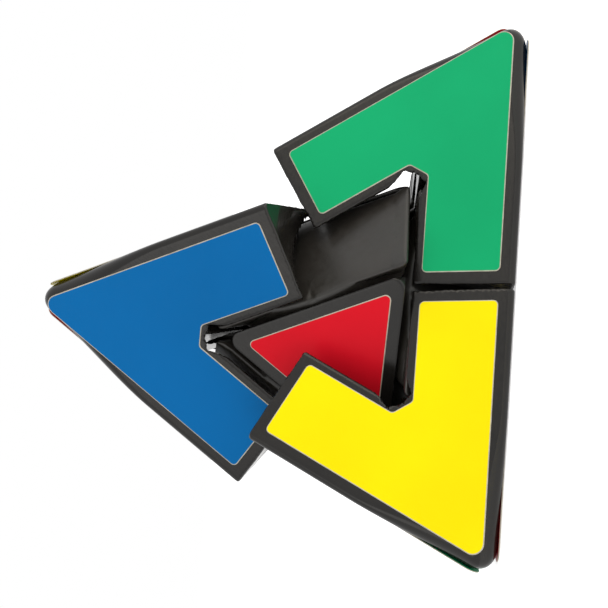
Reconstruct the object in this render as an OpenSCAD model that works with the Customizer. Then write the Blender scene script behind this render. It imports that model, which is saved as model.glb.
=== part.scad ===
/* [Body] */
// Half the length of one edge of the pyramid, measured to its unrounded corners
half_edge = 52; // [52:1:70]
// How far the top layer is stored turned out of line with the rest
rest_turn = -37.5; // [-60:0.5:60]
// Radius that rounds the long edges
edge_round = 1.1; // [0.6:0.1:2]
// Radius that rounds the four corners
tip_round = 3.3; // [2:0.1:4.5]

/* [Clearances] */
// Gap on each side of the cut between two arms that meet end to end
arm_gap = 0.3; // [0.2:0.05:0.5]
// Gap on each side of the groove round a centre cap
groove_gap = 0.65; // [0.5:0.05:0.8]
// Gap on each side of the hidden sliding faces
slide_gap = 0.25; // [0.2:0.05:0.35]
// Gap between a hub's plug or a cap's peg and the hole that it is pressed into
plug_gap = 0.05; // [0.02:0.01:0.1]

/* [Centres] */
// Distance from the middle of a face to the middle of its groove
window_inradius = 11.6; // [11:0.1:12]
// Distance from the middle of a face to the cut-off corner of its window
window_reach = 22.6; // [22:0.1:23.2]
// How far the centre cap lies below the face
cap_recess = 1.3; // [0.8:0.1:1.6]
// Radius of the corners of the centre cap
cap_round = 2; // [1.6:0.1:3]
// Thickness of the centre cap
cap_t = 3; // [2:0.1:3.2]
// Radius of the locating peg under a centre cap
peg_r = 2; // [1.5:0.1:2.5]
// Height of the peg
peg_h = 1.8; // [1:0.1:1.9]

/* [Stickers] */
// Thickness of a sticker, and depth of the recess that it fills
sticker_t = 0.2; // [0.1:0.05:0.4]
// Gap round a sticker in its recess
sticker_gap = 0.1; // [0.05:0.05:0.2]
// Distance from the unrounded edge to the sticker
sticker_edge_margin = 3; // [2.4:0.1:4]
// Distance from the middle of the edge to the end of the sticker
sticker_end_margin = 2.5; // [1.5:0.1:4]
// Width of the band that runs along each edge
sticker_band = 13.4; // [9:0.1:13.6]
// Width of the flat that cuts off the sticker's notch
notch_flat = 3.8; // [2.5:0.1:6]
// Radius of the sticker's corner at the tip of the pyramid
sticker_tip_round = 1.8; // [0.8:0.1:3]
// Radius of the sticker's other corners
sticker_round = 0.9; // [0.4:0.1:1.3]
// Distance from the middle of a centre sticker to its sides
cap_sticker_inradius = 8.2; // [6.5:0.1:9]

/* [Mechanism] */
// Radius of the core ball
core_r = 10.4; // [9.5:0.1:10.8]
// Radius of the sphere on which the feet meet the hubs
flange_r = 14.4; // [14:0.1:15]
// Radius at which a hub begins to narrow towards its neck
neck_r = 17.2; // [16.8:0.1:17.6]
// Distance from the middle of the puzzle to the flat top of a hidden edge piece
edge_piece_top = 21; // [19.5:0.1:22]
// Radius of the hub's plug in the corner shell
plug_r = 5.2; // [4.8:0.1:5.4]
// Radius of the hub's flange over the feet
hub_flange_r = 5.1; // [4.6:0.1:5.2]
// Radius of the hub's waist
hub_waist_r = 2.6; // [2.3:0.1:2.8]
// Radius of the post that joins a centre's foot to its cap
foot_post_r = 4.4; // [3:0.1:4.5]
// Distance from the middle of the puzzle to the top of the hub's plug
plug_top = 34.4; // [34:0.1:34.6]
// Wall left round the hollow in the tip of a corner shell
tip_wall = 2.2; // [1.6:0.1:2.6]

/* [Screws and springs] */
// Radius of the screw's shank
screw_r = 1.5; // [1.2:0.1:1.6]
// Radial clearance of the shank in a corner hub
shank_gap = 0.08; // [0.03:0.01:0.1]
// Length of the screw below its head
screw_len = 31; // [28:0.5:31.5]
// Radius of the screw's head
head_r = 2.9; // [2.5:0.1:3.2]
// Height of the screw's head
head_h = 2; // [1.6:0.1:2.6]
// Distance from the middle of the puzzle to the underside of the screw's head
head_seat = 35; // [34.8:0.1:36]
// Distance from the middle of the puzzle to the spring seat in a corner hub
spring_seat = 28.6; // [28.4:0.1:30]
// Mean radius of the spring's coils
spring_r = 2.5; // [2.3:0.05:2.6]
// Radius of the spring's wire
wire_r = 0.3; // [0.2:0.05:0.4]
// Number of turns in the spring
spring_turns = 5; // [4:1:6]
// Radius of the washer
washer_r = 3; // [2.9:0.05:3.1]
// Thickness of the washer under the spring
washer_t = 0.5; // [0.4:0.1:0.8]
// Gap round the washer in the spring's chamber
chamber_gap = 0.3; // [0.2:0.05:0.4]

/* [Hidden] */

// Colours of the plastic, the metal and the stickers
PLASTIC = "#161618";
INNER = "#2a2a2e";
STEEL = "silver";
BLUE = "#0369a8";
GREEN = "#22ac70";
YELLOW = "#f6e200";
RED = "#e11628";

// Angles of a regular tetrahedron, seen from its middle
corner_to_corner = acos(-1 / 3);
corner_to_edge = corner_to_corner / 2;
corner_to_face = 180 - corner_to_corner;
face_slant = 90 - corner_to_face;

// Distances from the middle to a face, to the middle of an edge and to an unrounded corner
face_h = half_edge / sqrt(6);
edge_h = half_edge / sqrt(2);
corner_h = 3 * face_h;
tip_h = corner_h - 2 * tip_round;
far = 2.2 * half_edge;
fine = 84;
joint_overlap = 0.01;

// Places of the four corners: tilt from +Z, then direction about Z
TOP = [0, 30];
RIGHT = [corner_to_corner, -30];
LEFT = [corner_to_corner, 210];
BACK = [corner_to_corner, 90];

// Directions of a corner's neighbours, and of the faces between them, about its own axis
NEAR = [60, 180, 300];
FACES = [0, 120, 240];

// ---- The cut round one corner's axis, which parts its turning layer from the rest ----

// Height of the groove's flat stretch, and the size of the cap that lies inside it
groove_z = face_h * cos(corner_to_face) - window_inradius * cos(face_slant);
cap_h = face_h - cap_recess;
cap_inradius = window_inradius - (groove_gap + cap_recess * cos(corner_to_face)) / cos(face_slant);
cap_side = sqrt(3) * (cap_inradius - cap_round);
cap_split = cap_h - cap_t;

// Height above the middle at which the room for a hub starts
hub_floor = 0.1 * half_edge;

// Height above the middle at which the uncut shell starts
shell_floor = 0.2 * half_edge;

// Spare width on a cap's sides, which the cuts of the layers take away
side_spare = 0.3;

// Half the angle of a foot's dish, seen from the middle
dish_angle = corner_to_corner / 2 - 26.6;

// Turn that keeps the seams of round surfaces away from the planes of symmetry
seam_turn = 20;

// The layer's edge as an angle from its axis, among the feet and among the hub flanges
foot_angle = 100;
flange_angle = 89.5;
foot_bottom_r = core_r + 2 * slide_gap;

// Where a window's wall meets the face at the end of an arm, measured from the middle
window_s = edge_h / 2 + (groove_gap - groove_z) * sin(60);

// Height of the notch's shoulder above the groove, and where the groove's flat stretch ends
shoulder = 0.033 * half_edge;
groove_end = 0.43 * half_edge;

function polar(r, angle) = [r * sin(angle), r * cos(angle)];

// A point on the outer edge of an arm's end face, as distance from the axis and height.
// s runs outwards from the middle of the puzzle, towards the middle of the edge.
function arm_end(s) =
    [sqrt(2 / 3 * s * s + pow(edge_h - s, 2) / 2), s * cos(corner_to_edge)];

// A point on a plane parallel to a face, u across and v up from its middle,
// as distance from the corner's axis and height
function on_face(h, u, v) = [
    norm([h * sin(corner_to_face) - v * sin(face_slant), u]),
    h * cos(corner_to_face) + v * cos(face_slant)
];

notch_r = on_face(face_h, window_reach * sin(60), -window_reach / 2)[0] - groove_gap;
clear_of_cap = groove_gap * [0.85, 0.53];

// Points of the cut's outline from outside to inside, each with the gap of the stretch after it
cut = [
    [polar(far, corner_to_edge), arm_gap],
    [arm_end(edge_h), arm_gap],
    [arm_end(0.85 * edge_h), arm_gap],
    [arm_end(0.72 * edge_h), arm_gap],
    [arm_end(window_s), groove_gap],
    [on_face(cap_h, cap_inradius * sin(60), cap_inradius / 2) + clear_of_cap, groove_gap],
    [on_face(cap_h, cap_inradius * sin(60) + cap_side / 2,
        cap_inradius / 2 - cap_side * sin(60)) + clear_of_cap, groove_gap],
    [[notch_r, groove_z + shoulder], groove_gap],
    [[notch_r, groove_z], groove_gap],
    [[groove_end, groove_z], slide_gap],
    [polar(neck_r, flange_angle), slide_gap],
    [polar(flange_r, flange_angle), slide_gap],
    [polar(flange_r, foot_angle), slide_gap],
    [polar(core_r / 2, foot_angle), slide_gap]
];

// Place in that list of the point where a window's wall meets the face
WINDOW_POINT = 4;

// Unit normal of a stretch, pointing out of the turning layer
function outward(a, b) = [a[1] - b[1], b[0] - a[0]] / norm(b - a);

// Moves the corner between two stretches so that each stretch moves by its own gap
function moved_corner(p, n1, g1, n2, g2) =
    p + [g1 * n2[1] - g2 * n1[1], g2 * n1[0] - g1 * n2[0]] / (n1[0] * n2[1] - n1[1] * n2[0]);

// The outline from one of its points inwards, moved by its gaps: out of the layer where
// side is 1, into it where side is -1
function cut_outline(side, start) = [
    for (i = [start : len(cut) - 2])
        moved_corner(cut[i][0],
            outward(cut[i - 1][0], cut[i][0]), side * cut[i - 1][1],
            outward(cut[i][0], cut[i + 1][0]), side * cut[i][1])
];

// The space that a layer sweeps as it turns about +Z, with its gap
module swept_by_layer(seam = seam_turn) {
    first = cut[0][0];
    last = cut[len(cut) - 1][0];
    rotate([0, 0, seam])
        rotate_extrude($fn = fine)
            polygon(concat([[0, far], [first[0], far], first], cut_outline(1, 1),
                [last, [0, last[1]]]));
}

// Everything near the middle that lies outside a layer's own pieces
module outside_layer(seam = seam_turn) {
    outline = cut_outline(-1, WINDOW_POINT);
    last = cut[len(cut) - 1][0];
    reach = 0.75 * half_edge;
    rotate([0, 0, seam])
        rotate_extrude($fn = fine)
            polygon(concat([[reach, reach], [outline[0][0], reach]], outline,
                [last, [0, last[1]], [0, -reach], [reach, -reach]]));
}

// Room for the core and for the feet that slide over it
module core_space(seam = seam_turn) {
    rotate([90, 0, seam]) sphere(r = foot_bottom_r, $fn = fine);
}

// ---- Placing and shaping ----

module at_corner(place) {
    rotate([0, place[0], place[1]]) children();
}

// +Z out of the face opposite a corner
module at_face(opposite) {
    at_corner(opposite) rotate([0, 180, 0]) children();
}

// +Z out of the middle of the edge from a corner to a neighbour
module at_edge(place, direction) {
    at_corner(place) rotate([0, corner_to_edge, direction]) children();
}

// +Z out of a face beside a corner, with +Y up the face towards that corner
module beside_corner(direction) {
    rotate([0, corner_to_face, direction]) rotate([0, 0, 90]) children();
}

// Everything up to a distance along a direction
module below(tilt, direction, distance) {
    rotate([0, tilt, direction])
        translate([-far, -far, distance - 2 * far])
            cube(2 * far);
}

module turned() {
    rotate([0, 0, rest_turn]) children();
}

// An outline with each of its corners rounded by the radius in the same place in the list
function rounded(points, radii, steps = 4) = [
    for (i = [0 : len(points) - 1])
        let (p = points[i],
             a = points[(i + len(points) - 1) % len(points)] - p,
             b = points[(i + 1) % len(points)] - p,
             ua = a / norm(a),
             ub = b / norm(b),
             half = acos(ua * ub) / 2,
             centre = p + (ua + ub) / norm(ua + ub) * radii[i] / sin(half),
             ra = p + ua * radii[i] / tan(half) - centre,
             rb = p + ub * radii[i] / tan(half) - centre)
        for (k = [0 : steps])
            centre + (sin((1 - k / steps) * (180 - 2 * half)) * ra
                + sin(k / steps * (180 - 2 * half)) * rb) / sin(180 - 2 * half)
];

function triangle(inradius, round) =
    rounded([for (a = FACES) 2 * inradius * [cos(a), sin(a)]], [round, round, round], 6);

// ---- Corners ----

// A point beside the edge that runs down from a corner: t along the edge, w in from it.
// side is 1 for the edge on the right and -1 for the one on the left.
function beside_edge(side, t, w) =
    [side * (t * sin(30) - w * cos(30)), 2 * half_edge / sqrt(3) - t * cos(30) - w * sin(30)];

// Outline of a corner's sticker, grown all round
function chevron(grow) =
    let (edge = sticker_edge_margin - grow,
         inner = sticker_edge_margin + sticker_band + grow,
         end = half_edge - sticker_end_margin + grow,
         notch = notch_flat - 2 * grow * tan(30) + 2 * inner * cos(30))
    rounded([
        beside_edge(1, edge * sqrt(3), edge),
        beside_edge(1, end, edge),
        beside_edge(1, end, inner),
        beside_edge(1, notch, inner),
        beside_edge(-1, notch, inner),
        beside_edge(-1, end, inner),
        beside_edge(-1, end, edge)
    ], [
        sticker_tip_round + grow, sticker_round + grow, sticker_round + grow, sticker_round / 2,
        sticker_round / 2, sticker_round + grow, sticker_round + grow
    ]);

// A convex part of a corner's recess, drawn round a few places on the face
module recess_part(places, radius) {
    hull()
        for (p = places) {
            translate(p) circle(r = radius, $fn = 24);
        }
}

// The recess for a corner's sticker: two arms, and the flat that cuts off the notch
module chevron_recess(direction) {
    r = sticker_round + sticker_gap;
    edge = sticker_edge_margin + sticker_round;
    band = sticker_edge_margin + sticker_band;
    inner = band - sticker_round;
    end = half_edge - sticker_end_margin - sticker_round;
    notch = beside_edge(1, notch_flat + 2 * band * cos(30), band) + [sticker_round, sticker_round];
    beside_corner(direction)
        translate([0, 0, face_h - sticker_t])
            linear_extrude(2 * sticker_t) {
                for (side = [-1, 1]) {
                    recess_part([
                        beside_edge(side, edge * sqrt(3), edge),
                        beside_edge(side, end, edge),
                        beside_edge(side, end, inner),
                        beside_edge(side, inner * sqrt(3), inner)
                    ], r);
                }
                recess_part([notch, [-notch[0], notch[1]], beside_edge(1, edge * sqrt(3), edge)], r);
            }
}

module chevron_plate(direction, grow) {
    beside_corner(direction)
        translate([0, 0, face_h - sticker_t])
            linear_extrude(sticker_t + grow)
                polygon(chevron(grow));
}

// A corner in its own frame with its axis up, before it is cut free of its neighbours
module corner_block() {
    flat = edge_round * (1 / sin(corner_to_face / 2) - 1);
    intersection() {
        translate([-far, -far, shell_floor])
            cube([2 * far, 2 * far, tip_h - shell_floor]);
        intersection_for(a = FACES) below(corner_to_face, a, face_h);
        intersection_for(a = NEAR) below(corner_to_edge, a, edge_h - flat);
    }
}

module swept_by_neighbour(direction) {
    rotate([0, corner_to_corner, direction]) swept_by_layer();
}

// Cuts away what a corner's three neighbours sweep as their layers turn
module free_of_neighbours() {
    difference() {
        difference() {
            difference() {
                children();
                swept_by_neighbour(NEAR[0]);
            }
            swept_by_neighbour(NEAR[1]);
        }
        swept_by_neighbour(NEAR[2]);
    }
}

// The room for the hub inside a corner shell
module hub_space() {
    translate([0, 0, hub_floor]) {
        cylinder(h = 0.433 * half_edge - hub_floor, r = 0.212 * half_edge, $fn = fine);
        cylinder(h = plug_top - hub_floor, r = plug_r + plug_gap, $fn = fine);
    }
}

// The hollow in the tip, which holds the screw's head
module tip_hollow() {
    intersection() {
        below(0, 0, tip_h - 2 * tip_wall);
        intersection_for(a = FACES) below(corner_to_face, a, face_h - tip_wall);
        intersection_for(a = NEAR) below(corner_to_edge, a, edge_h - 2 * tip_wall);
        translate([0, 0, plug_top - joint_overlap])
            cylinder(h = far, r = far);
    }
}

module corner_shell() {
    color(PLASTIC)
        difference() {
            difference() {
                free_of_neighbours() corner_block();
                hub_space();
            }
            tip_hollow();
            for (a = FACES) {
                chevron_recess(a);
            }
        }
}

// A hub turned about its corner's axis: a flange over the feet, a waist, and the plug
module corner_hub() {
    bore = screw_r + shank_gap;
    chamber = washer_r + chamber_gap;
    flange_low = flange_r + 1.4 * slide_gap;
    color(INNER)
        rotate_extrude($fn = fine)
            polygon([
                [bore, flange_low],
                [hub_flange_r - 0.4, flange_low],
                [hub_flange_r, neck_r - 1],
                [hub_waist_r, groove_end],
                [hub_waist_r, 1.07 * groove_end],
                [plug_r, spring_seat + 0.3],
                [plug_r, plug_top],
                [chamber, plug_top],
                [chamber, spring_seat],
                [bore, spring_seat]
            ]);
}

module chevron_sticker(direction, shade) {
    color(shade) chevron_plate(direction, 0);
}

// ---- Centres ----

module outside_side(direction) {
    rotate([0, corner_to_face, direction]) outside_layer();
}

// A centre between two heights, in its own frame with +Z out of its face:
// it stays within the three layers that it turns with
module centre_slice(low, high) {
    difference() {
        difference() {
            difference() {
                translate([0, 0, low])
                    linear_extrude(high - low)
                        polygon(triangle(cap_inradius + side_spare, cap_round + 2 * side_spare));
                outside_side(FACES[0]);
            }
            outside_side(FACES[1]);
        }
        outside_side(FACES[2]);
    }
}

// A foot turned about its face's axis: a dish that slides under the flanges, a post and a peg
module centre_foot() {
    color(INNER)
        union() {
            difference() {
                union() {
                    intersection() {
                        sphere(r = flange_r - slide_gap, $fn = fine);
                        cylinder(h = flange_r, r1 = 0, r2 = flange_r * tan(dish_angle), $fn = fine);
                    }
                    translate([0, 0, core_r])
                        cylinder(h = cap_split - core_r, r = foot_post_r, $fn = fine);
                }
                core_space();
            }
            translate([0, 0, cap_split - peg_h])
                cylinder(h = 2 * peg_h, r = peg_r, $fn = fine);
        }
}

module centre_cap() {
    color(PLASTIC)
        difference() {
            centre_slice(cap_split, cap_h);
            cylinder(h = cap_split + peg_h + plug_gap, r = peg_r + plug_gap, $fn = fine);
            centre_plate(sticker_gap);
        }
}

module centre_plate(grow) {
    translate([0, 0, cap_h - sticker_t])
        linear_extrude(sticker_t + grow)
            polygon(triangle(cap_sticker_inradius + grow, sticker_round + grow));
}

module centre_sticker(shade) {
    color(shade) centre_plate(0);
}

// ---- Hidden edge pieces ----

module swept_beside_edge(direction) {
    rotate([0, 180 - corner_to_edge, direction]) swept_by_layer(0);
}

module outside_edge(direction) {
    rotate([0, corner_to_edge, direction]) outside_layer(0);
}

// A hidden piece under an edge: clear of two layers, and within the two that it turns with
module inner_edge() {
    length = 0.8 * half_edge;
    width = 0.44 * half_edge;
    color(INNER)
        difference() {
            difference() {
                difference() {
                    difference() {
                        translate([-length / 2, -width / 2, 0])
                            cube([length, width, edge_piece_top]);
                        swept_beside_edge(90);
                    }
                    swept_beside_edge(270);
                }
                outside_edge(0);
            }
            outside_edge(180);
            core_space(0);
        }
}

// ---- Core, screws and springs ----

module core() {
    color(INNER)
        difference() {
            sphere(r = core_r, $fn = fine);
            for (place = [TOP, RIGHT, LEFT, BACK]) {
                at_corner(place)
                    translate([0, 0, head_seat - screw_len - 0.5])
                        cylinder(h = far, r = screw_r + plug_gap, $fn = fine);
            }
        }
}

module screw() {
    slot_w = 0.7;
    slot_depth = 1.1;
    color(STEEL)
        difference() {
            union() {
                translate([0, 0, head_seat - screw_len])
                    cylinder(h = screw_len + joint_overlap, r = screw_r, $fn = fine);
                translate([0, 0, head_seat])
                    cylinder(h = head_h, r = head_r, $fn = fine);
            }
            for (turn = [0, 90]) {
                rotate([0, 0, turn])
                    translate([-head_r * 0.6, -slot_w / 2, head_seat + head_h - slot_depth])
                        cube([head_r * 1.2, slot_w, slot_depth + 1]);
            }
        }
}

washer_z = spring_seat + 0.1;

module washer() {
    color(STEEL)
        translate([0, 0, washer_z])
            difference() {
                cylinder(h = washer_t, r = washer_r, $fn = fine);
                translate([0, 0, -1])
                    cylinder(h = washer_t + 2, r = screw_r + chamber_gap, $fn = fine);
            }
}

// A helix of round wire, made of rings of points joined into one closed surface
module spring() {
    per_turn = 20;
    sides = 6;
    rings = spring_turns * per_turn;
    low = washer_z + washer_t + wire_r + 0.02;
    high = head_seat - wire_r - 0.02;
    points = [
        for (i = [0 : rings])
            for (j = [0 : sides - 1])
                let (a = i * 360 / per_turn,
                     w = j * 360 / sides,
                     r = spring_r + wire_r * cos(w))
                [r * cos(a), r * sin(a), low + (high - low) * i / rings + wire_r * sin(w)]
    ];
    ends = [[for (j = [sides - 1 : -1 : 0]) j], [for (j = [0 : sides - 1]) rings * sides + j]];
    walls = [
        for (i = [0 : rings - 1])
            for (j = [0 : sides - 1])
                let (k = (j + 1) % sides)
                [i * sides + j, i * sides + k, (i + 1) * sides + k, (i + 1) * sides + j]
    ];
    color(STEEL) polyhedron(points, concat(ends, walls));
}

// ---- The assembly ----

core();

at_corner(TOP) screw();  // screw_top
at_corner(RIGHT) screw();  // screw_right
at_corner(LEFT) screw();  // screw_left
at_corner(BACK) screw();  // screw_back

at_corner(TOP) spring();  // spring_top
at_corner(RIGHT) spring();  // spring_right
at_corner(LEFT) spring();  // spring_left
at_corner(BACK) spring();  // spring_back

at_corner(TOP) washer();  // washer_top
at_corner(RIGHT) washer();  // washer_right
at_corner(LEFT) washer();  // washer_left
at_corner(BACK) washer();  // washer_back

turned() at_corner(TOP) corner_shell();  // corner_shell_top
at_corner(RIGHT) corner_shell();  // corner_shell_right
at_corner(LEFT) corner_shell();  // corner_shell_left
at_corner(BACK) corner_shell();  // corner_shell_back

turned() at_corner(TOP) corner_hub();  // corner_hub_top
at_corner(RIGHT) corner_hub();  // corner_hub_right
at_corner(LEFT) corner_hub();  // corner_hub_left
at_corner(BACK) corner_hub();  // corner_hub_back

turned() at_corner(TOP) chevron_sticker(240, BLUE);  // sticker_top_front
turned() at_corner(TOP) chevron_sticker(120, RED);  // sticker_top_left
turned() at_corner(TOP) chevron_sticker(0, YELLOW);  // sticker_top_right

at_corner(RIGHT) chevron_sticker(240, GREEN);  // sticker_right_front
at_corner(RIGHT) chevron_sticker(120, RED);  // sticker_right_right
at_corner(RIGHT) chevron_sticker(0, BLUE);  // sticker_right_base

at_corner(LEFT) chevron_sticker(120, YELLOW);  // sticker_left_front
at_corner(LEFT) chevron_sticker(240, GREEN);  // sticker_left_left
at_corner(LEFT) chevron_sticker(0, RED);  // sticker_left_base

at_corner(BACK) chevron_sticker(120, GREEN);  // sticker_back_left
at_corner(BACK) chevron_sticker(240, YELLOW);  // sticker_back_right
at_corner(BACK) chevron_sticker(0, BLUE);  // sticker_back_base

turned() at_face(BACK) centre_cap();  // centre_cap_front
turned() at_face(RIGHT) centre_cap();  // centre_cap_left
turned() at_face(LEFT) centre_cap();  // centre_cap_right
at_face(TOP) centre_cap();  // centre_cap_base

turned() at_face(BACK) centre_foot();  // centre_foot_front
turned() at_face(RIGHT) centre_foot();  // centre_foot_left
turned() at_face(LEFT) centre_foot();  // centre_foot_right
at_face(TOP) centre_foot();  // centre_foot_base

turned() at_face(BACK) centre_sticker(RED);  // centre_sticker_front
turned() at_face(RIGHT) centre_sticker(BLUE);  // centre_sticker_left
turned() at_face(LEFT) centre_sticker(GREEN);  // centre_sticker_right
at_face(TOP) centre_sticker(YELLOW);  // centre_sticker_base

turned() at_edge(TOP, 300) inner_edge();  // inner_edge_top_right
turned() at_edge(TOP, 180) inner_edge();  // inner_edge_top_left
turned() at_edge(TOP, 60) inner_edge();  // inner_edge_top_back
at_edge(RIGHT, 300) inner_edge();  // inner_edge_right_left
at_edge(RIGHT, 60) inner_edge();  // inner_edge_right_back
at_edge(LEFT, 300) inner_edge();  // inner_edge_left_back
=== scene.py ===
"""A four-sided pyramid twisty puzzle: glossy black corner shells with vinyl stickers,
recessed triangular centres and dark inner edge pieces, seen part way through a turn."""

import math

import bpy
import numpy as np
from mathutils import Matrix, Vector


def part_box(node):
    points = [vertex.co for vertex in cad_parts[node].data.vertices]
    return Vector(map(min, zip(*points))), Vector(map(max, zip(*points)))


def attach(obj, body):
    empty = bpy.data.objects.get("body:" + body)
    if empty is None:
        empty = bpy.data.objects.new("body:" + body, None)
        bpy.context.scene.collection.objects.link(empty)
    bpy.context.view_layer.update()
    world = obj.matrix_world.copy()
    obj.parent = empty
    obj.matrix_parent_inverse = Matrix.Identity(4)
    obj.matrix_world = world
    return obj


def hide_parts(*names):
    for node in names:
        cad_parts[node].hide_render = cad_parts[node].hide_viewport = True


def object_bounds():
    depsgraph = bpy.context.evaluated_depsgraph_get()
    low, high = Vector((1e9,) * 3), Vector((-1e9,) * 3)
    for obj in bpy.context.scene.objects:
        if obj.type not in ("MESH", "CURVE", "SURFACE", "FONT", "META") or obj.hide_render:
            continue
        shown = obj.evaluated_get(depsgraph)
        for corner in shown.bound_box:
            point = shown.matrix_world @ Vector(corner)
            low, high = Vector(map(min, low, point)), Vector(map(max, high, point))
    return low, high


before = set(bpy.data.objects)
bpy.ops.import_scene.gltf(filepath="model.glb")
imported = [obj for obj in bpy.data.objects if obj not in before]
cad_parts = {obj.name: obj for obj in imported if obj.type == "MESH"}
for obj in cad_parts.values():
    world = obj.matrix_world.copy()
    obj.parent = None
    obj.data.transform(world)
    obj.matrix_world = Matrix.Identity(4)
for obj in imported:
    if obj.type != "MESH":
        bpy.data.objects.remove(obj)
CAD_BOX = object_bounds()
MM = 0.001

# ---- Sizes in millimetres, as in the CAD ----

FACE_H = -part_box("sticker_right_base")[0][2] / MM
HALF_EDGE = FACE_H * math.sqrt(6)
EDGE_H = HALF_EDGE / math.sqrt(2)
CORNER_H = 3 * FACE_H
REST_TURN = -37.5

CORNER_TO_CORNER = math.degrees(math.acos(-1 / 3))
CORNER_TO_EDGE = CORNER_TO_CORNER / 2
CORNER_TO_FACE = 180 - CORNER_TO_CORNER
FACE_SLANT = 90 - CORNER_TO_FACE

ARM_GAP = 0.3
GROOVE_GAP = 0.65
SLIDE_GAP = 0.25
PLUG_GAP = 0.05
WINDOW_INRADIUS = 11.6
WINDOW_REACH = 22.6
CAP_DEPTH = 1.3
CAP_H = FACE_H - CAP_DEPTH
CAP_T = 3
CAP_ROUND = 2
PEG_R = 2
PEG_H = 1.8
STICKER_T = 0.2
STICKER_EDGE = 3
STICKER_END = 2.5
STICKER_BAND = 13.4
NOTCH_FLAT = 3.8
CAP_STICKER_INRADIUS = 8.2
FOOT_BOTTOM_R = 10.9
FLANGE_R = 14.4
FLANGE_ANGLES = 89.5, 100  # its two sides, in degrees from the corner's axis
NECK_R = 17.2
CUT_END_R = 5.2
PLUG_R = 5.2
PLUG_TOP = 34.4
EDGE_PIECE_TOP = 21
EDGE_PIECE_HALF = 0.4 * HALF_EDGE, 0.22 * HALF_EDGE
TIP_WALL = 2.2
HOLLOW_END = 11  # from the unrounded corner to the tip's hollow
HUB_ROOM_R = 0.212 * HALF_EDGE
HUB_ROOM_TOP = 0.433 * HALF_EDGE
CAP_INRADIUS = WINDOW_INRADIUS - (
    GROOVE_GAP + CAP_DEPTH * math.cos(math.radians(CORNER_TO_FACE))
) / math.cos(math.radians(FACE_SLANT))
GROOVE_Z = (FACE_H * math.cos(math.radians(CORNER_TO_FACE))
            - WINDOW_INRADIUS * math.cos(math.radians(FACE_SLANT)))
GROOVE_END = 0.43 * HALF_EDGE
GROOVE_SHOULDER = 0.033 * HALF_EDGE
GROOVE_SIDE = 0.85, 0.53  # from a cap's corner into the groove, outwards and up
ARM_END_SHARES = 1, 0.85, 0.72
FAR = 2.2 * HALF_EDGE
REACH = 0.75 * HALF_EDGE
PAST_AXIS = -60  # closes an outline beyond the axis, so that the axis isn't an edge of it

# Looks: how far the plastic lies below a sticker's top, and the radii of its edges
STICKER_PROUD = 0.12
LONG_EDGE_R = 1.6
TIP_R = 5.0
TIP_BLEND = 26, 18  # the radius grows from here below the unrounded corner, over this length
WALL_EDGE_R = 0.4
CAP_EDGE_R = 0.4
PIECE_EDGE_R = 0.9
STICKER_TIP_R = 1.8
STICKER_CORNER_R = 0.9
STICKER_RIM = 0.16
RIM_DROPS = 0.07, 0.025  # depths at which the rim starts to lean, and leans more

NEAR = (60, 180, 300)
FACES = (0, 120, 240)
CORNERS = {  # lean from the top, and heading
    "top": (0, 30),
    "right": (CORNER_TO_CORNER, -30),
    "left": (CORNER_TO_CORNER, 210),
    "back": (CORNER_TO_CORNER, 90),
}
CORNER_STICKERS = {
    "top": {"front": (240, "blue"), "left": (120, "red"), "right": (0, "yellow")},
    "right": {"front": (240, "green"), "right": (120, "red"), "base": (0, "blue")},
    "left": {"front": (120, "yellow"), "left": (240, "green"), "base": (0, "red")},
    "back": {"left": (120, "green"), "right": (240, "yellow"), "base": (0, "blue")},
}
CENTRES = {  # face: the corner opposite, and the sticker's colour
    "front": ("back", "red"),
    "left": ("right", "blue"),
    "right": ("left", "green"),
    "base": ("top", "yellow"),
}
INNER_EDGES = {
    "top_right": ("top", 300),
    "top_left": ("top", 180),
    "top_back": ("top", 60),
    "right_left": ("right", 300),
    "right_back": ("right", 60),
    "left_back": ("left", 300),
}


# ---- Frames of the pieces ----

def spin(degrees):
    return Matrix.Rotation(math.radians(degrees), 4, "Z")


def tilt(degrees):
    return Matrix.Rotation(math.radians(degrees), 4, "Y")


def corner_frame(name):
    lean, heading = CORNERS[name]
    return spin(heading) @ tilt(lean)


def axes(matrix):
    return np.array(matrix.to_3x3())


# ---- The cut that parts a turning layer from the rest ----

def sind(a):
    return math.sin(math.radians(a))


def cosd(a):
    return math.cos(math.radians(a))


def polar(r, angle):
    return np.array([r * sind(angle), r * cosd(angle)])


def arm_end(s):
    return np.array([math.sqrt(2 / 3 * s * s + (EDGE_H - s) ** 2 / 2), s * cosd(CORNER_TO_EDGE)])


def on_face(h, u, v):
    return np.array([
        math.hypot(h * sind(CORNER_TO_FACE) - v * sind(FACE_SLANT), u),
        h * cosd(CORNER_TO_FACE) + v * cosd(FACE_SLANT),
    ])


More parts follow.
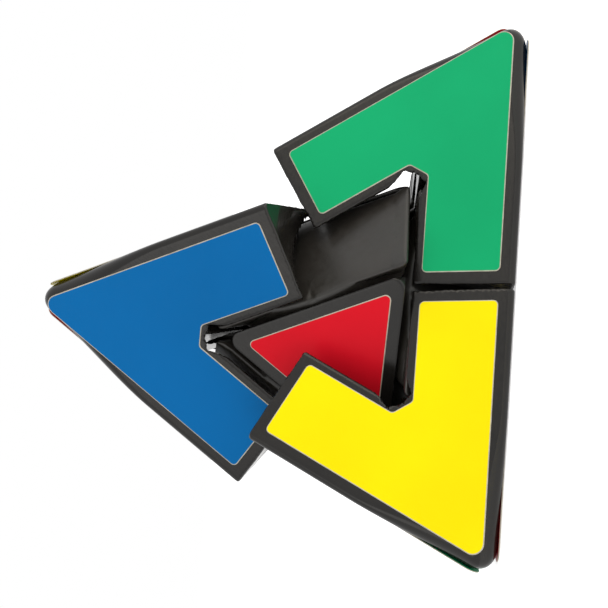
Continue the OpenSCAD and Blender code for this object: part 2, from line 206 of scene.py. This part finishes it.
def cut_points():
    """The cut's outline, inwards. Each point comes with the gap of the stretch after it."""
    window_s = EDGE_H / 2 + (GROOVE_GAP - GROOVE_Z) * sind(60)
    notch_r = on_face(FACE_H, WINDOW_REACH * sind(60), -WINDOW_REACH / 2)[0] - GROOVE_GAP
    clear = GROOVE_GAP * np.array(GROOVE_SIDE)
    side = math.sqrt(3) * (CAP_INRADIUS - CAP_ROUND)
    return [
        (polar(FAR, CORNER_TO_EDGE), ARM_GAP),
        *((arm_end(share * EDGE_H), ARM_GAP) for share in ARM_END_SHARES),
        (arm_end(window_s), GROOVE_GAP),
        (on_face(CAP_H, CAP_INRADIUS * sind(60), CAP_INRADIUS / 2) + clear, GROOVE_GAP),
        (on_face(CAP_H, CAP_INRADIUS * sind(60) + side / 2,
                 CAP_INRADIUS / 2 - side * sind(60)) + clear, GROOVE_GAP),
        (np.array([notch_r, GROOVE_Z + GROOVE_SHOULDER]), GROOVE_GAP),
        (np.array([notch_r, GROOVE_Z]), GROOVE_GAP),
        (np.array([GROOVE_END, GROOVE_Z]), SLIDE_GAP),
        (polar(NECK_R, FLANGE_ANGLES[0]), SLIDE_GAP),
        (polar(FLANGE_R, FLANGE_ANGLES[0]), SLIDE_GAP),
        (polar(FLANGE_R, FLANGE_ANGLES[1]), SLIDE_GAP),
        (polar(CUT_END_R, FLANGE_ANGLES[1]), SLIDE_GAP),
    ]


def cut_outline(side, start):
    """The outline inwards from one point, moved by its gaps: out of the layer where side is 1."""
    cut = cut_points()

    def outward(i):
        (a, _), (b, _) = cut[i], cut[i + 1]
        return np.array([a[1] - b[1], b[0] - a[0]]) / np.linalg.norm(b - a)

    out = []
    for i in range(start, len(cut) - 1):
        n1, n2 = outward(i - 1), outward(i)
        g1, g2 = side * cut[i - 1][1], side * cut[i][1]
        cross = n1[0] * n2[1] - n1[1] * n2[0]
        move = np.array([g1 * n2[1] - g2 * n1[1], g2 * n1[0] - g1 * n2[0]]) / cross
        out.append(cut[i][0] + move)
    return out


def swept_outline():
    """What a turning layer sweeps, with its gaps."""
    first, last = cut_points()[0][0], cut_points()[-1][0]
    return np.array([[PAST_AXIS, FAR], [first[0], FAR], first, *cut_outline(1, 1),
                     last, [PAST_AXIS, last[1]]])


def outside_outline():
    """What stays outside a turning layer, seen from a cap or an inner edge piece in it."""
    points = cut_outline(-1, 4)
    last = cut_points()[-1][0]
    return np.array([[REACH, REACH], [points[0][0], REACH], *points, last,
                     [PAST_AXIS, last[1]], [PAST_AXIS, -REACH], [REACH, -REACH]])


SWEPT = swept_outline()
OUTSIDE = outside_outline()


# ---- Distances: negative inside a piece ----

def outline_distance(x, y, outline):
    best = np.full(x.shape, 1e12, x.dtype)
    inside = np.zeros(x.shape, bool)
    for (x0, y0), (x1, y1) in zip(outline, np.roll(outline, -1, axis=0)):
        ex, ey = x1 - x0, y1 - y0
        wx, wy = x - x0, y - y0
        t = np.clip((wx * ex + wy * ey) / (ex * ex + ey * ey), 0, 1)
        np.minimum(best, (wx - t * ex) ** 2 + (wy - t * ey) ** 2, out=best)
        if abs(ey) > 1e-9:
            inside ^= ((y0 <= y) != (y1 <= y)) & (wx < wy * ex / ey)
    return np.where(inside, -1, 1) * np.sqrt(best)


def turned_distance(p, matrix, outline):
    """Distance to an outline turned about the +Z axis of a frame."""
    q = p @ axes(matrix).astype(p.dtype)
    return outline_distance(np.hypot(q[..., 0], q[..., 1]), q[..., 2], outline)


def rounded_max(a, b, r):
    """The overlap of two shapes, with the edge between them rounded."""
    return (np.minimum(-r, np.maximum(a, b))
            + np.hypot(np.maximum(a + r, 0), np.maximum(b + r, 0)))


def plane_distance(p, lean, heading, height):
    n = (spin(heading) @ tilt(lean)).col[2][:3]
    return p[..., 0] * n[0] + p[..., 1] * n[1] + p[..., 2] * n[2] - height


def cylinder_distance(p, r, low, high):
    rho = np.hypot(p[..., 0], p[..., 1])
    return np.maximum(rho - r, np.maximum(low - p[..., 2], p[..., 2] - high))


def shell_distance(p):
    """A corner shell, with its corner's axis upright."""
    z = p[..., 2]
    near_tip = np.clip((z - (CORNER_H - TIP_BLEND[0])) / TIP_BLEND[1], 0, 1)
    r = LONG_EDGE_R + (TIP_R - LONG_EDGE_R) * near_tip ** 2 * (3 - 2 * near_tip)
    sides = [plane_distance(p, CORNER_TO_FACE, a, FACE_H - STICKER_PROUD) for a in FACES]
    highest = np.maximum(np.maximum(sides[0], sides[1]), sides[2])
    beyond = sum(np.maximum(s + r, 0) ** 2 for s in sides)
    d = np.minimum(-r, highest) + np.sqrt(beyond)
    for a in NEAR:
        sweep = turned_distance(p, spin(a) @ tilt(CORNER_TO_CORNER), SWEPT)
        d = rounded_max(d, -sweep, WALL_EDGE_R)
    hub = np.minimum(cylinder_distance(p, HUB_ROOM_R, 0, HUB_ROOM_TOP),
                     cylinder_distance(p, PLUG_R + PLUG_GAP, 0, PLUG_TOP))
    hollow = np.maximum(np.maximum(highest + STICKER_PROUD + TIP_WALL, PLUG_TOP - z),
                        z - (CORNER_H - HOLLOW_END))
    return np.maximum(d, np.maximum(-hub, -hollow))


def cap_distance(p):
    """A centre cap, with its face's axis upright."""
    core = CAP_INRADIUS - CAP_ROUND
    corners = np.array([[2 * core * cosd(a), 2 * core * sind(a)] for a in FACES])
    side = outline_distance(p[..., 0], p[..., 1], corners) - CAP_ROUND
    d = rounded_max(side, p[..., 2] - (CAP_H - STICKER_PROUD), CAP_EDGE_R)
    for a in FACES:
        d = np.maximum(d, -turned_distance(p, spin(a) @ tilt(CORNER_TO_FACE), OUTSIDE))
    d = np.maximum(d, CAP_H - CAP_T - p[..., 2])
    peg_top = CAP_H - CAP_T + PEG_H
    return np.maximum(d, -cylinder_distance(p, PEG_R + PLUG_GAP, 0, peg_top + PLUG_GAP))


def inner_edge_distance(p):
    """An inner edge piece, with the long edge's middle on its upright axis."""
    along, across = np.array(EDGE_PIECE_HALF)
    d = rounded_max(np.abs(p[..., 0]) - along, np.abs(p[..., 1]) - across, PIECE_EDGE_R)
    d = rounded_max(d, p[..., 2] - EDGE_PIECE_TOP, PIECE_EDGE_R)
    for a in (90, 270):
        sweep = turned_distance(p, spin(a) @ tilt(180 - CORNER_TO_EDGE), SWEPT)
        d = rounded_max(d, -sweep, PIECE_EDGE_R)
    for a in (0, 180):
        rest = turned_distance(p, spin(a) @ tilt(CORNER_TO_EDGE), OUTSIDE)
        d = rounded_max(d, -rest, PIECE_EDGE_R)
    return np.maximum(d, FOOT_BOTTOM_R - np.linalg.norm(p, axis=-1))


# ---- Meshes from distances ----

GRID_PARTS = 12  # the grid is worked through in parts, to save memory
PULLS = 5  # times that the points are pulled onto the surface
LEAST_SLOPE = 0.2


def slope(distance, p, step=0.04):
    g = np.empty_like(p)
    for k in range(3):
        move = np.zeros(3)
        move[k] = step
        g[:, k] = distance(p + move) - distance(p - move)
    return g / (2 * step)


def contour(distance, low, high, cell):
    """Points and quads of the surface at distance 0, with a point in each cell it crosses."""
    line = [np.arange(a - cell, b + 2 * cell, cell, dtype=np.float32) for a, b in zip(low, high)]
    grid = np.stack(np.meshgrid(*line, indexing="ij"), axis=-1)
    value = np.concatenate([distance(part) for part in np.array_split(grid, GRID_PARTS)])
    size = np.array(value.shape)
    total = np.zeros((*(size - 1), 3))
    count = np.zeros(size - 1)
    crossings = []
    for axis in range(3):
        a = [slice(None)] * 3
        b = [slice(None)] * 3
        a[axis], b[axis] = slice(0, -1), slice(1, None)
        va, vb = value[tuple(a)], value[tuple(b)]
        at = np.argwhere((va < 0) != (vb < 0))
        ia = tuple(at.T)
        point = grid[tuple(a)][ia].astype(float)
        point[:, axis] += cell * va[ia] / (va[ia] - vb[ia])
        others = [k for k in range(3) if k != axis]
        keep = np.all((at[:, others] > 0) & (at[:, others] < size[others] - 1), axis=1)
        at, point, rising = at[keep], point[keep], (va[ia] < 0)[keep]
        cells = []
        for i, j in ((0, 0), (1, 0), (1, 1), (0, 1)):
            c = at.copy()
            c[:, others[0]] -= i
            c[:, others[1]] -= j
            cells.append(c)
            np.add.at(total, tuple(c.T), point)
            np.add.at(count, tuple(c.T), 1)
        crossings.append((cells, rising != (axis == 1)))
    used = count > 0
    number = np.full(used.shape, -1)
    number[used] = np.arange(used.sum())
    points = total[used] / count[used][:, None]
    quads = []
    for cells, flip in crossings:
        q = np.stack([number[tuple(c.T)] for c in cells], axis=1)
        q[flip] = q[flip][:, ::-1]
        quads.append(q)
    for _ in range(PULLS):
        g = slope(distance, points)
        length = np.maximum((g * g).sum(axis=1), LEAST_SLOPE)
        move = -(distance(points) / length)[:, None] * g
        points += np.clip(move, -cell / 2, cell / 2)
    return points, np.concatenate(quads)


def piece_mesh(name, distance, low, high, cell):
    """A smooth mesh of a shape inside a box, in metres."""
    points, quads = contour(distance, low, high, cell)
    mesh = bpy.data.meshes.new(name)
    mesh.from_pydata((points * MM).tolist(), [], quads[:, ::-1].tolist())
    mesh.validate()
    mesh.shade_smooth()
    g = slope(distance, points)
    g /= np.maximum(np.linalg.norm(g, axis=1), 1e-6)[:, None]
    mesh.normals_split_custom_set_from_vertices(g.tolist())
    return mesh


# ---- Stickers ----

def rounded(points, radii, steps=8):
    """An outline with each corner turned into an arc of its own radius."""
    out = []
    n = len(points)
    for i, r in enumerate(radii):
        p = np.array(points[i])
        ua, ub = (np.array(points[(i + k) % n]) - p for k in (-1, 1))
        ua, ub = ua / np.linalg.norm(ua), ub / np.linalg.norm(ub)
        half = math.acos(ua @ ub) / 2
        middle = p + (ua + ub) / np.linalg.norm(ua + ub) * r / math.sin(half)
        ra = p + ua * r / math.tan(half) - middle
        rb = p + ub * r / math.tan(half) - middle
        turn = math.pi - 2 * half
        for k in range(steps + 1):
            t = k / steps
            out.append(middle + (math.sin((1 - t) * turn) * ra + math.sin(t * turn) * rb)
                       / math.sin(turn))
    return np.array(out)


def chevron(grow):
    """A corner sticker's outline, with its tip at the top."""
    def beside(side, t, w):
        return (side * (t * sind(30) - w * cosd(30)),
                2 * HALF_EDGE / math.sqrt(3) - t * cosd(30) - w * sind(30))

    edge = STICKER_EDGE - grow
    inner = STICKER_EDGE + STICKER_BAND + grow
    end = HALF_EDGE - STICKER_END + grow
    notch = NOTCH_FLAT - 2 * grow * math.tan(math.radians(30)) + 2 * inner * cosd(30)
    points = [beside(1, edge * math.sqrt(3), edge), beside(1, end, edge), beside(1, end, inner),
              beside(1, notch, inner), beside(-1, notch, inner), beside(-1, end, inner),
              beside(-1, end, edge)]
    outer, notch_r = STICKER_CORNER_R + grow, STICKER_CORNER_R
    return rounded(points, [STICKER_TIP_R + grow, outer, outer, notch_r, notch_r, outer, outer])


def cap_sticker(grow):
    reach = 2 * (CAP_STICKER_INRADIUS + grow)
    points = [(reach * cosd(a), reach * sind(a)) for a in FACES]
    return rounded(points, [STICKER_CORNER_R + grow] * 3)


def sticker_mesh(name, outline, top, colour):
    """A thin sheet with a rounded rim: its cut edge shows the pale film under the colour."""
    rings = [(0, top - STICKER_T), (0, top - RIM_DROPS[0]),
             (-0.3 * STICKER_RIM, top - RIM_DROPS[1]), (-STICKER_RIM, top)]
    points, faces, looks = [], [], []
    for grow, z in rings:
        ring = outline(grow)
        points += [(x * MM, y * MM, z * MM) for x, y in ring]
    n = len(ring)
    area = sum(ring[i - 1][0] * ring[i][1] - ring[i][0] * ring[i - 1][1] for i in range(n))
    for level in range(len(rings) - 1):
        for i in range(n):
            a, b = level * n + i, level * n + (i + 1) % n
            faces.append((a, b, b + n, a + n) if area > 0 else (a, a + n, b + n, b))
            looks.append(1)
    last = [(len(rings) - 1) * n + i for i in range(n)]
    faces.append(tuple(last if area > 0 else last[::-1]))
    faces.append(tuple(range(n))[::-1] if area > 0 else tuple(range(n)))
    looks += [0, 0]
    mesh = bpy.data.meshes.new(name)
    mesh.from_pydata(points, [], faces)
    mesh.materials.append(vinyl[colour])
    mesh.materials.append(film_edge)
    mesh.polygons.foreach_set("material_index", looks)
    mesh.update()
    return mesh


# ---- Materials ----

PLASTIC_SPECULAR = 0.33
VINYL_SPECULAR = 0.06

class Look:
    """A Principled material with a little node code."""

    def __init__(self, name, rough, metallic=0.0):
        self.material = bpy.data.materials.new(name)
        self.material.use_nodes = True
        self.tree = self.material.node_tree
        self.shader = self.tree.nodes["Principled BSDF"]
        self.shader.inputs["Roughness"].default_value = rough
        self.shader.inputs["IOR"].default_value = 1.5
        self.shader.inputs["Metallic"].default_value = metallic
        self.place = self.tree.nodes.new("ShaderNodeTexCoord").outputs["Object"]

    def link(self, a, b):
        self.tree.links.new(a, b)

    def noise(self, scale, detail=4.0, stretch=None):
        node = self.tree.nodes.new("ShaderNodeTexNoise")
        node.inputs["Scale"].default_value = scale
        node.inputs["Detail"].default_value = detail
        place = self.place
        if stretch:
            scaled = self.tree.nodes.new("ShaderNodeMapping")
            scaled.inputs["Scale"].default_value = stretch
            self.link(place, scaled.inputs["Vector"])
            place = scaled.outputs["Vector"]
        self.link(place, node.inputs["Vector"])
        return node.outputs["Fac"]

    def ramp(self, value, low, high, start=0.3, end=0.7):
        node = self.tree.nodes.new("ShaderNodeMapRange")
        node.inputs["From Min"].default_value = start
        node.inputs["From Max"].default_value = end
        node.inputs["To Min"].default_value = low
        node.inputs["To Max"].default_value = high
        self.link(value, node.inputs["Value"])
        return node.outputs["Result"]

    def colour(self, value, a, b):
        node = self.tree.nodes.new("ShaderNodeMix")
        node.data_type = "RGBA"
        self.link(value, node.inputs[0])
        node.inputs[6].default_value = (*a, 1)
        node.inputs[7].default_value = (*b, 1)
        self.link(node.outputs[2], self.shader.inputs["Base Color"])

    def rough(self, value):
        self.link(value, self.shader.inputs["Roughness"])

    def bump(self, value, depth):
        node = self.tree.nodes.new("ShaderNodeBump")
        node.inputs["Distance"].default_value = depth
        node.inputs["Strength"].default_value = 1.0
        self.link(value, node.inputs["Height"])
        self.link(node.outputs["Normal"], self.shader.inputs["Normal"])


def linear(rgb):
    """An sRGB colour, from 0 to 255, as a linear one from 0 to 1."""
    return tuple(c / 12.92 if c <= 0.04045 else ((c + 0.055) / 1.055) ** 2.4
                 for c in (v / 255 for v in rgb))


def shaded(rgb, k):
    return tuple(min(1, c * k) for c in linear(rgb))


def make_plastic():
    look = Look("glossy_black_plastic", 0.2)
    look.shader.inputs["Specular IOR Level"].default_value = PLASTIC_SPECULAR
    look.colour(look.ramp(look.noise(60), 0, 1), (0.006, 0.0055, 0.005), (0.012, 0.0105, 0.009))
    hair = look.noise(900, 3, (1, 9, 1))
    look.rough(look.ramp(hair, 0.13, 0.27))
    look.bump(look.noise(420, 5), 0.000004)
    return look.material


def make_inner_plastic():
    look = Look("satin_inner_plastic", 0.38)
    look.colour(look.ramp(look.noise(90), 0, 1), (0.012, 0.011, 0.009), (0.022, 0.019, 0.016))
    look.rough(look.ramp(look.noise(700), 0.3, 0.46))
    look.bump(look.noise(1600, 4), 0.00001)
    return look.material


def make_steel():
    look = Look("zinc_plated_steel", 0.3, metallic=1.0)
    look.colour(look.ramp(look.noise(700), 0, 1), (0.42, 0.42, 0.43), (0.6, 0.6, 0.59))
    look.rough(look.ramp(look.noise(1500), 0.22, 0.42))
    look.bump(look.noise(2600), 0.000006)
    return look.material


def make_vinyl(name, rgb):
    look = Look("vinyl_" + name, 0.35)
    look.shader.inputs["Specular IOR Level"].default_value = VINYL_SPECULAR
    look.colour(look.ramp(look.noise(45, 6), 0, 1), shaded(rgb, 0.74), shaded(rgb, 0.82))
    look.rough(look.ramp(look.noise(800), 0.28, 0.42))
    look.bump(look.noise(3000, 2), 0.000008)
    return look.material


def make_film_edge():
    look = Look("sticker_film_edge", 0.4)
    look.colour(look.ramp(look.noise(900), 0, 1), (0.3, 0.27, 0.21), (0.44, 0.41, 0.34))
    look.bump(look.noise(4000), 0.00001)
    return look.material


plastic = make_plastic()
inner_plastic = make_inner_plastic()
steel = make_steel()
film_edge = make_film_edge()
vinyl = {name: make_vinyl(name, rgb) for name, rgb in {
    "blue": (2, 105, 172),
    "green": (17, 171, 110),
    "yellow": (255, 235, 0),
    "red": (229, 22, 40),
}.items()}


# ---- Pieces ----

SHELL_CELL = 0.4
CAP_CELL = 0.28
EDGE_PIECE_CELL = 0.38


def add_piece(name, mesh, place, node, top):
    """A copy of a mesh in its place, which stands for one CAD node."""
    placed = mesh.copy()
    placed.transform((spin(REST_TURN) if top else Matrix()) @ place)
    placed.name = name
    piece = bpy.data.objects.new(name, placed)
    bpy.context.scene.collection.objects.link(piece)
    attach(piece, "top_layer" if top else "puzzle_body")
    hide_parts(node)


shell_mesh = piece_mesh("corner_shell", shell_distance,
                        (-30, -26.5, 12), (18.6, 26.5, 57.6), SHELL_CELL)
cap_mesh = piece_mesh("centre_cap", cap_distance,
                      (-11, -17.5, CAP_H - CAP_T), (19.5, 17.5, CAP_H), CAP_CELL)
inner_mesh = piece_mesh("inner_edge", inner_edge_distance,
                        (-19.5, -11, 6.5), (19.5, 11, EDGE_PIECE_TOP), EDGE_PIECE_CELL)
shell_mesh.materials.append(plastic)
cap_mesh.materials.append(plastic)
inner_mesh.materials.append(inner_plastic)

for corner, stickers in CORNER_STICKERS.items():
    top = corner == "top"
    place = corner_frame(corner)
    add_piece("shell_" + corner, shell_mesh, place, "corner_shell_" + corner, top)
    for side, (heading, colour) in stickers.items():
        label = f"{corner}_{side}"
        mesh = sticker_mesh("sticker_sheet_" + label, chevron, FACE_H, colour)
        on_side = place @ spin(heading) @ tilt(CORNER_TO_FACE) @ spin(90)
        add_piece("vinyl_" + label, mesh, on_side, "sticker_" + label, top)

for side, (opposite, colour) in CENTRES.items():
    top = side != "base"
    place = corner_frame(opposite) @ tilt(180)
    add_piece("cap_" + side, cap_mesh, place, "centre_cap_" + side, top)
    mesh = sticker_mesh("centre_sheet_" + side, cap_sticker, CAP_H, colour)
    add_piece("vinyl_centre_" + side, mesh, place, "centre_sticker_" + side,
              top)

for label, (corner, heading) in INNER_EDGES.items():
    place = corner_frame(corner) @ spin(heading) @ tilt(CORNER_TO_EDGE)
    add_piece("edge_" + label, inner_mesh, place, "inner_edge_" + label,
              label.startswith("top"))

for name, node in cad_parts.items():
    if name.startswith(("screw", "spring", "washer")):
        finish = steel
    elif name.startswith(("core", "corner_hub", "centre_foot")):
        finish = inner_plastic
    else:
        continue
    node.data.materials.clear()
    node.data.materials.append(finish)


# ---- Floor, light and camera ----

FLOOR_HALF = 6
FLOOR_GLOW = 0.55
CAMERA_PLACE = -0.15818, -0.49419, 0.02985
CAMERA_RIGHT = 0.0765, -0.0603, -0.9952
CAMERA_BACK = -0.3102, -0.9501, 0.0337
CAMERA_LENS = 177.63


def make_floor():
    z = CAD_BOX[0][2]
    mesh = bpy.data.meshes.new("floor")
    signs = (-1, -1), (1, -1), (1, 1), (-1, 1)
    corners = [(x * FLOOR_HALF, y * FLOOR_HALF, z) for x, y in signs]
    mesh.from_pydata(corners, [], [(0, 1, 2, 3)])
    look = Look("pale_floor", 0.9)
    look.colour(look.ramp(look.noise(3), 0, 1), (0.9, 0.9, 0.9), (0.93, 0.93, 0.93))
    look.shader.inputs["Emission Color"].default_value = (1, 1, 1, 1)
    look.shader.inputs["Emission Strength"].default_value = FLOOR_GLOW
    mesh.materials.append(look.material)
    floor = bpy.data.objects.new("floor", mesh)
    bpy.context.scene.collection.objects.link(floor)


def add_light(name, place, size, power, colour=(1, 1, 1)):
    lamp = bpy.data.lights.new(name, "AREA")
    lamp.shape = "DISK"
    lamp.size = size
    lamp.energy = power
    lamp.color = colour
    light = bpy.data.objects.new(name, lamp)
    bpy.context.scene.collection.objects.link(light)
    light.location = place
    light.rotation_euler = (-Vector(place)).to_track_quat("-Z", "Y").to_euler()


make_floor()
add_light("key", (-0.9, -0.7, 1.1), 0.7, 1.5, (1, 0.97, 0.92))
add_light("fill", (0.9, -0.9, 0.5), 0.9, 4.5, (1, 0.92, 0.76))

world = bpy.data.worlds.new("studio")
bpy.context.scene.world = world
world.use_nodes = True
world.node_tree.nodes["Background"].inputs["Color"].default_value = (1, 1, 1, 1)
world.node_tree.nodes["Background"].inputs["Strength"].default_value = 1.0

camera = bpy.data.objects.new("camera", bpy.data.cameras.new("camera"))
bpy.context.scene.collection.objects.link(camera)
camera.data.lens = CAMERA_LENS
camera.data.sensor_width = 36
camera.data.clip_start = 0.01
right = Vector(CAMERA_RIGHT).normalized()
back = Vector(CAMERA_BACK).normalized()
up = back.cross(right).normalized()
right = up.cross(back)
camera.matrix_world = Matrix((
    (right.x, up.x, back.x, CAMERA_PLACE[0]),
    (right.y, up.y, back.y, CAMERA_PLACE[1]),
    (right.z, up.z, back.z, CAMERA_PLACE[2]),
    (0, 0, 0, 1),
))
bpy.context.scene.camera = camera
bpy.context.scene.view_settings.view_transform = "Standard"

bpy.context.view_layer.update()
